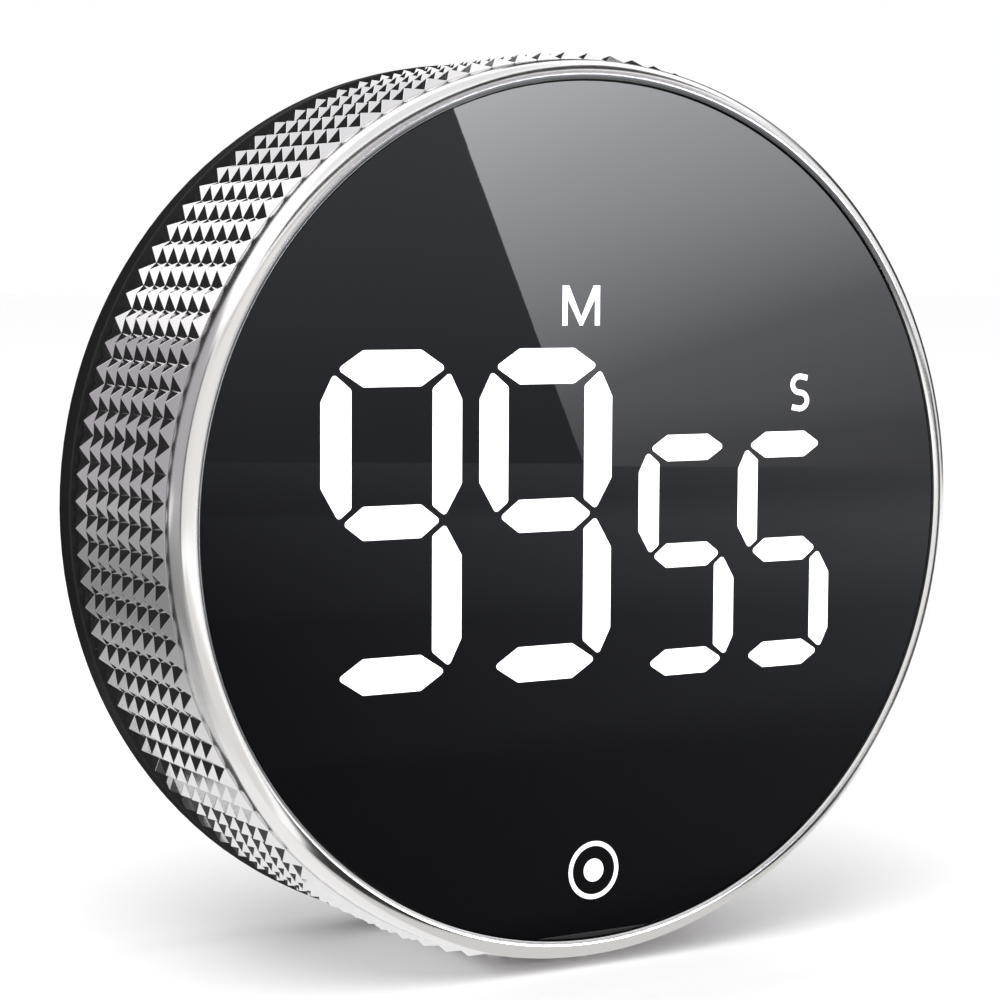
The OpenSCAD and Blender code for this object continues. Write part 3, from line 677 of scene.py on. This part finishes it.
def lit(name, strength):
    """White that glows, a little uneven as real light guides are: the segments are lit from
    behind, the printed letters get a painted glow.
    """
    material = bpy.data.materials.new(name)
    material.use_nodes = True
    tree = material.node_tree
    skin = tree.nodes["Principled BSDF"]
    place = tree.nodes.new("ShaderNodeTexCoord").outputs["Object"]
    patch = noise(tree, place, 300.0, 3)
    tree.links.new(mix_colour(tree, patch, (0.9, 0.9, 0.91), (1, 1, 1)), skin.inputs["Base Color"])
    tree.links.new(mix_colour(tree, patch, (0.93, 0.93, 0.94), (1, 1, 1)),
                   skin.inputs["Emission Color"])
    marks = place_group(tree, MOULD_GRAIN, Grains_per_m=5000.0, Gloss=0.3, Gloss_Spread=0.06)
    tree.links.new(marks.outputs["Roughness"], skin.inputs["Roughness"])
    skin.inputs["Emission Strength"].default_value = strength
    return material


LIT_WHITE = lit("lit_white", 1.15)
# The printed letters are no lamp: their glow is painted light that makes them read white.
LEGEND_PAINTED_GLOW = lit("legend_white", 0.75)
print("front finishes:", PANEL_GLOSS.name, LIT_WHITE.name, LEGEND_PAINTED_GLOW.name)

# %% [markdown]
# Pieces whose CAD shape is already right keep their own mesh and only take a finish. Most of
# them are inside the case and show when the door is open or the timer is taken apart.

# %% Finishes of the pieces that keep their CAD mesh
KEPT = {
    FRAME_PLASTIC: ["inner_frame", "display_housing", "panel_carrier"],
    GEAR_PLASTIC: ["dial_gear_ring"],
    BOARD_GREEN: ["main_board", "switch_board"],
    SCREW_STEEL: ["board_screws", "encoder_shaft"],
    CONTACT_STEEL: ["battery_springs", "contact_plates", "quartz_crystal", "volume_switch_body"],
    LED_BODY: ["display_leds", "tact_plunger"],
    DIFFUSER: ["diffuser_film"],
    CHIP_RESIN: ["controller_chip", "driver_chip", "tact_switch_body", "buzzer", "volume_lever"],
    CERAMIC: ["board_passives"],
    ENCODER_BLUE: ["encoder_body"],
    PINION_NYLON: ["encoder_pinion"],
    WIRE_RED: ["hook_up_wires"],
    PANEL_GLOSS: ["display_panel"],
    LIT_WHITE: ["lit_segments"],
    # painted glow on the printed letters
    LEGEND_PAINTED_GLOW: ["panel_legends"],
}
for material, nodes in KEPT.items():
    for node in nodes:
        dress(node, material)
print("CAD meshes dressed:", sum(len(nodes) for nodes in KEPT.values()))

# %% [markdown]
# ## Pieces with a mesh of their own
# A turned part is one section swept round an axis, as on a lathe. The same two helpers make the
# ring, the rubber and the cells, and a third hands every finished mesh to the body it rides on.

# %% The lathe
def new_piece(name, bm, materials, body, replaced=(), sharp=30):
    """Turn a bmesh into a piece that rides on a body and takes its finish from a slot."""
    bmesh.ops.recalc_face_normals(bm, faces=bm.faces)
    mesh = bpy.data.meshes.new(name)
    bm.to_mesh(mesh)
    bm.free()
    mesh.shade_smooth()
    mesh.set_sharp_from_angle(angle=math.radians(sharp))
    for material in materials:
        mesh.materials.append(material)
    piece = bpy.data.objects.new(name, mesh)
    scene.collection.objects.link(piece)
    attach(piece, body)
    if replaced:
        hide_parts(*replaced)
    print(f"{name}: {len(mesh.polygons)} faces")
    return piece


def lathe(bm, outline, steps=256, place=seen, finishes=None):
    """Sweep a closed outline of (radius, height) points round an axis."""
    rings = []
    for i in range(steps):
        turn = 2 * math.pi * i / steps
        rings.append([bm.verts.new(place(r * math.cos(turn), r * math.sin(turn), height))
                      for r, height in outline])
    for i, ring in enumerate(rings):
        after = rings[(i + 1) % steps]
        for j in range(len(outline)):
            k = (j + 1) % len(outline)
            face = bm.faces.new((ring[j], ring[k], after[k], after[j]))
            if finishes:
                face.material_index = finishes[j]
    bmesh.ops.remove_doubles(bm, verts=bm.verts, dist=0.0001 * MM)


def arc(centre, half_width, half_height, start, end, steps):
    """Points of an ellipse's arc, with the angles in degrees."""
    turns = [math.radians(start + (end - start) * k / steps) for k in range(steps + 1)]
    return [(centre[0] + half_width * math.cos(t), centre[1] + half_height * math.sin(t))
            for t in turns]


print("quarter circle as points:", len(arc((0, 0), 1, 1, 0, 90, 6)))

# %% [markdown]
# ## The satin ring
# From the seam the ring's wall leans in slightly, and the crown rolls over to the edge of the
# gloss front. It is turned on a lathe, so the section is drawn once, with an arc for each
# rolled edge.

# %% Satin ring
SEAM_OUT = 25.6
SEAM_FILLET = 0.2
WALL_LEAN = 0.23
CROWN_CURVE = 1.35
INNER_CURVE = 1.2
INNER_FILLET = 0.05
INNER_R = 36.46
SPIGOT_R = 37.2
LEDGE_R = 33.95
LEDGE_BACK, LEDGE_FRONT = 22.65, 24.02
bezel_section = (
    [(LEDGE_R, LEDGE_BACK), (SPIGOT_R, LEDGE_BACK), (SPIGOT_R, SEAM_OUT)]
    + arc((BEZEL_R - SEAM_FILLET, SEAM_OUT + SEAM_FILLET), SEAM_FILLET, SEAM_FILLET, -90, -7.6, 6)
    + [(BEZEL_R - WALL_LEAN, CROWN_OUT - 0.92)]
    + arc((BEZEL_R - 1.473, CROWN_OUT - 1.461), CROWN_CURVE, CROWN_CURVE, 25, 88, 16)
    + arc((INNER_R + 0.66, CROWN_OUT - 1.3), INNER_CURVE, INNER_CURVE, 102, 120, 6)
    + arc((INNER_R + INNER_FILLET, CROWN_OUT - 0.31), INNER_FILLET, INNER_FILLET, 140, 180, 3)
    + [(INNER_R, LEDGE_FRONT), (LEDGE_R, LEDGE_FRONT)]
)
bezel = bmesh.new()
lathe(bezel, bezel_section, 320)
new_piece("satin_ring", bezel, [BEZEL_METAL], "dial", ["bezel_ring"], 50)

# %% [markdown]
# ## The knurled sleeve
# Two crossed sets of cuts leave rows of four-sided points. A displaced texture would blur them,
# so each point is built: a net of valley corners, one tip over each cell, and a hair-fine bevel
# on every edge that catches the light as a real cut edge does.

# %% Knurled sleeve
KNURLS_ROUND = 108
KNURL_ROWS = 8
TIP_R = 38.95
VALLEY_R = 38.3
BORE_R = 37.4
CUT_EDGE = 0.022
sleeve_low, sleeve_high = reach("knurled_sleeve")[0].z, reach("knurled_sleeve")[1].z


def on_sleeve(radius, step, out):
    turn = 2 * math.pi * step / KNURLS_ROUND
    return seen(radius * math.cos(turn), radius * math.sin(turn), out)


def knurled_sleeve():
    bm = bmesh.new()
    row = (sleeve_high - sleeve_low) / KNURL_ROWS
    net = [[bm.verts.new(on_sleeve(VALLEY_R, i, sleeve_low + row * j))
            for i in range(KNURLS_ROUND)] for j in range(KNURL_ROWS + 1)]
    bore = [[bm.verts.new(on_sleeve(BORE_R, i, out)) for i in range(KNURLS_ROUND)]
            for out in (sleeve_low, sleeve_high)]
    tips = []
    for j in range(KNURL_ROWS):
        for i in range(KNURLS_ROUND):
            k = (i + 1) % KNURLS_ROUND
            tip = bm.verts.new(on_sleeve(TIP_R, i + 0.5, sleeve_low + row * (j + 0.5)))
            corners = (net[j][i], net[j][k], net[j + 1][k], net[j + 1][i])
            for n in range(4):
                bm.faces.new((tip, corners[n], corners[(n + 1) % 4]))
            tips.append(tip)
    for i in range(KNURLS_ROUND):
        k = (i + 1) % KNURLS_ROUND
        bm.faces.new((net[0][i], net[0][k], bore[0][k], bore[0][i]))
        bm.faces.new((net[-1][i], net[-1][k], bore[1][k], bore[1][i]))
        bm.faces.new((bore[0][i], bore[0][k], bore[1][k], bore[1][i]))
    bmesh.ops.recalc_face_normals(bm, faces=bm.faces)
    cut_edges = [e for tip in tips for e in tip.link_edges]
    bmesh.ops.bevel(bm, geom=cut_edges, offset=CUT_EDGE * MM, segments=1, affect="EDGES",
                    profile=0.5)
    return bm


new_piece("knurled_grip", knurled_sleeve(), [KNURL_CHROME], "dial",
          ["knurled_sleeve"], 5)

# %% [markdown]
# ## The back
# Moulded parts have no knife edges: the tool's corners are rounded so the plastic flows and the
# part comes out. The CAD solids are exact but sharp, so the pieces of the back are copies of
# them with every sharp edge rounded, by a few hundredths to three tenths of a millimetre.

# %% Softened copies of CAD solids
SHARP_EDGE = math.radians(30)
FLAT_ENOUGH = math.radians(1)


def softened(node, width, steps=2):
    """A bmesh of a CAD node with its sharp edges rounded by a width in mm."""
    bm = bmesh.new()
    bm.from_mesh(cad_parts[node].data)
    bmesh.ops.remove_doubles(bm, verts=bm.verts, dist=0.001 * MM)
    bmesh.ops.dissolve_limit(bm, angle_limit=FLAT_ENOUGH, verts=bm.verts, edges=bm.edges)
    bmesh.ops.triangulate(bm, faces=bm.faces)
    sharp = [e for e in bm.edges if len(e.link_faces) == 2 and e.calc_face_angle() > SHARP_EDGE]
    bmesh.ops.bevel(bm, geom=sharp, offset=width * MM, segments=steps, profile=0.5,
                    affect="EDGES", clamp_overlap=False)
    return bm


new_piece("rear_shell", softened("rear_housing", 0.1), [BLACK_ABS], "housing",
          ["rear_housing"], 20)
new_piece("door_cover", softened("battery_door", 0.12), [DOOR_ABS], "door",
          ["battery_door"], 20)
new_piece("magnet_discs", softened("magnets", 0.3, 3), [MAGNET_NICKEL], "housing",
          ["magnets"], 20)
new_piece("case_screws", softened("housing_screws", 0.06), [SCREW_STEEL], "housing",
          ["housing_screws"], 20)
new_piece("volume_thumb", softened("volume_knob", 0.07), [KNOB_PLASTIC], "volume_slide",
          ["volume_knob"], 20)

# %% [markdown]
# The rubber ring keeps the timer from sliding on steel. Three rounded ribs touch the door, so the
# rubber can flatten a little and grip.

# %% Rubber ring
grip_high = reach("grip_ring")[1]
GRIP_OUT_R = grip_high.x
GRIP_IN_R = GRIP_OUT_R - 1.76
GRIP_RIBS = 3
RIB_HEIGHT = 0.32
RIB_FILLS = 0.92
GRIP_SEAT = 0.02
rib_half = (GRIP_OUT_R - GRIP_IN_R) / GRIP_RIBS / 2
grip_section = [(GRIP_IN_R, grip_high.z - GRIP_SEAT)]
for n in range(GRIP_RIBS):
    rib_centre = (GRIP_IN_R + rib_half * (2 * n + 1), RIB_HEIGHT)
    grip_section += arc(rib_centre, rib_half * RIB_FILLS, RIB_HEIGHT, 180, 360, 10)
grip_section.append((GRIP_OUT_R, grip_high.z - GRIP_SEAT))
grip = bmesh.new()
lathe(grip, grip_section, 192)
new_piece("grip_rubber_ring", grip, [GRIP_RUBBER], "housing", ["grip_ring"], 40)

# %% [markdown]
# Three raised bars of growing length beside the slide show which way is louder. They need no
# words, and are cut into the same mould as the shell.

# %% Volume marks
slide_low = reach("volume_knob")[0]
BACK_OUT = reach("rear_housing")[0].z
MARK_HALF = 0.22
MARK_RAISE = 0.18
MARK_SUNK = 0.05
MARK_LENGTHS = (0.9, 1.7, 2.5)
MARK_PITCH = 2.2
MARK_GAP = 0.9
MARK_FILLET = 0.06
marks = bmesh.new()
for n, mark_len in enumerate(MARK_LENGTHS):
    mark_right = slide_low.x - MARK_GAP
    mark_y = (n - 1) * MARK_PITCH
    corners = [(mark_right - mark_len, mark_y - MARK_HALF), (mark_right, mark_y - MARK_HALF),
               (mark_right, mark_y + MARK_HALF), (mark_right - mark_len, mark_y + MARK_HALF)]
    foot = [marks.verts.new(seen(x, y, BACK_OUT + MARK_SUNK)) for x, y in corners]
    head = [marks.verts.new(seen(x, y, BACK_OUT - MARK_RAISE)) for x, y in corners]
    marks.faces.new(foot)
    marks.faces.new(head)
    for k in range(4):
        marks.faces.new((foot[k], foot[(k + 1) % 4], head[(k + 1) % 4], head[k]))
bmesh.ops.recalc_face_normals(marks, faces=marks.faces)
bmesh.ops.bevel(marks, geom=marks.edges[:], offset=MARK_FILLET * MM, segments=2, profile=0.5,
                affect="EDGES")
new_piece("volume_marks", marks, [BLACK_ABS], "housing")

# %% [markdown]
# Each cell is a steel can in a shrunk sleeve: the sleeve curls over both rims, a plain copper
# band marks the button end, and the button stands on a small shoulder.

# %% Battery cells
CELL_SLEEVE = finish("cell_sleeve", (0.03, 0.032, 0.04), 0.2, grains=3000, spread=0.1,
                     height=0.000006, smear=0.15, Coat_Weight=0.4)
CELL_BAND = finish("cell_band", (0.5, 0.2, 0.08), 0.25, metal=0.7, grains=3000, spread=0.1,
                   height=0.000006, smear=0.15)
CELL_STEEL = finish("cell_steel", (0.62, 0.63, 0.65), 0.25, metal=1.0, grains=5000, spread=0.15,
                    height=0.000005, smear=0.1)
SLEEVE, BAND, STEEL = 0, 1, 2
CURL = 0.6
BAND_LENGTH = 11
RIM_DROP = 0.8
BUTTON_CURVE = 0.3


def cell_section(radius, length):
    """Outline of a cell from its flat end to its button, and the finish of each stretch."""
    stretches = [
        ([(0, 0.05), (radius - 1.6, 0.05), (radius - 1.5, 0.22)], STEEL),
        ([(radius - 1.3, 0.22)] + arc((radius - CURL, CURL), CURL, CURL, 270, 360, 5), SLEEVE),
        ([(radius, length - BAND_LENGTH)], BAND),
        (arc((radius - CURL, length - RIM_DROP - CURL), CURL, CURL, 0, 90, 5)
         + [(radius - 1.2, length - RIM_DROP)], BAND),
        ([(radius - 1.3, length - 0.95), (2.3, length - 0.95), (2.1, length - RIM_DROP)], STEEL),
        ([(1.9, length - 0.7)]
         + arc((1.6, length - BUTTON_CURVE), BUTTON_CURVE, BUTTON_CURVE, 0, 90, 4)
         + [(0, length)], STEEL),
    ]
    outline, finishes = [], []
    for points, kind in stretches:
        outline += points
        finishes += [kind] * len(points)
    return outline, finishes


for node, button_up in (("battery_cell_left", True), ("battery_cell_middle", False),
                        ("battery_cell_right", True)):
    low, high = reach(node)
    middle_x, middle_out = (low.x + high.x) / 2, (low.z + high.z) / 2
    start, way = (low.y, 1) if button_up else (high.y, -1)
    outline, finishes = cell_section((high.x - low.x) / 2 - 0.01, high.y - low.y)
    cell = bmesh.new()
    lathe(cell, outline, 96, lambda a, b, s: seen(middle_x + a, start + way * s, middle_out + b),
          finishes)
    new_piece(node.replace("battery_", "") + "_sleeved", cell,
              [CELL_SLEEVE, CELL_BAND, CELL_STEEL], "housing", [node])
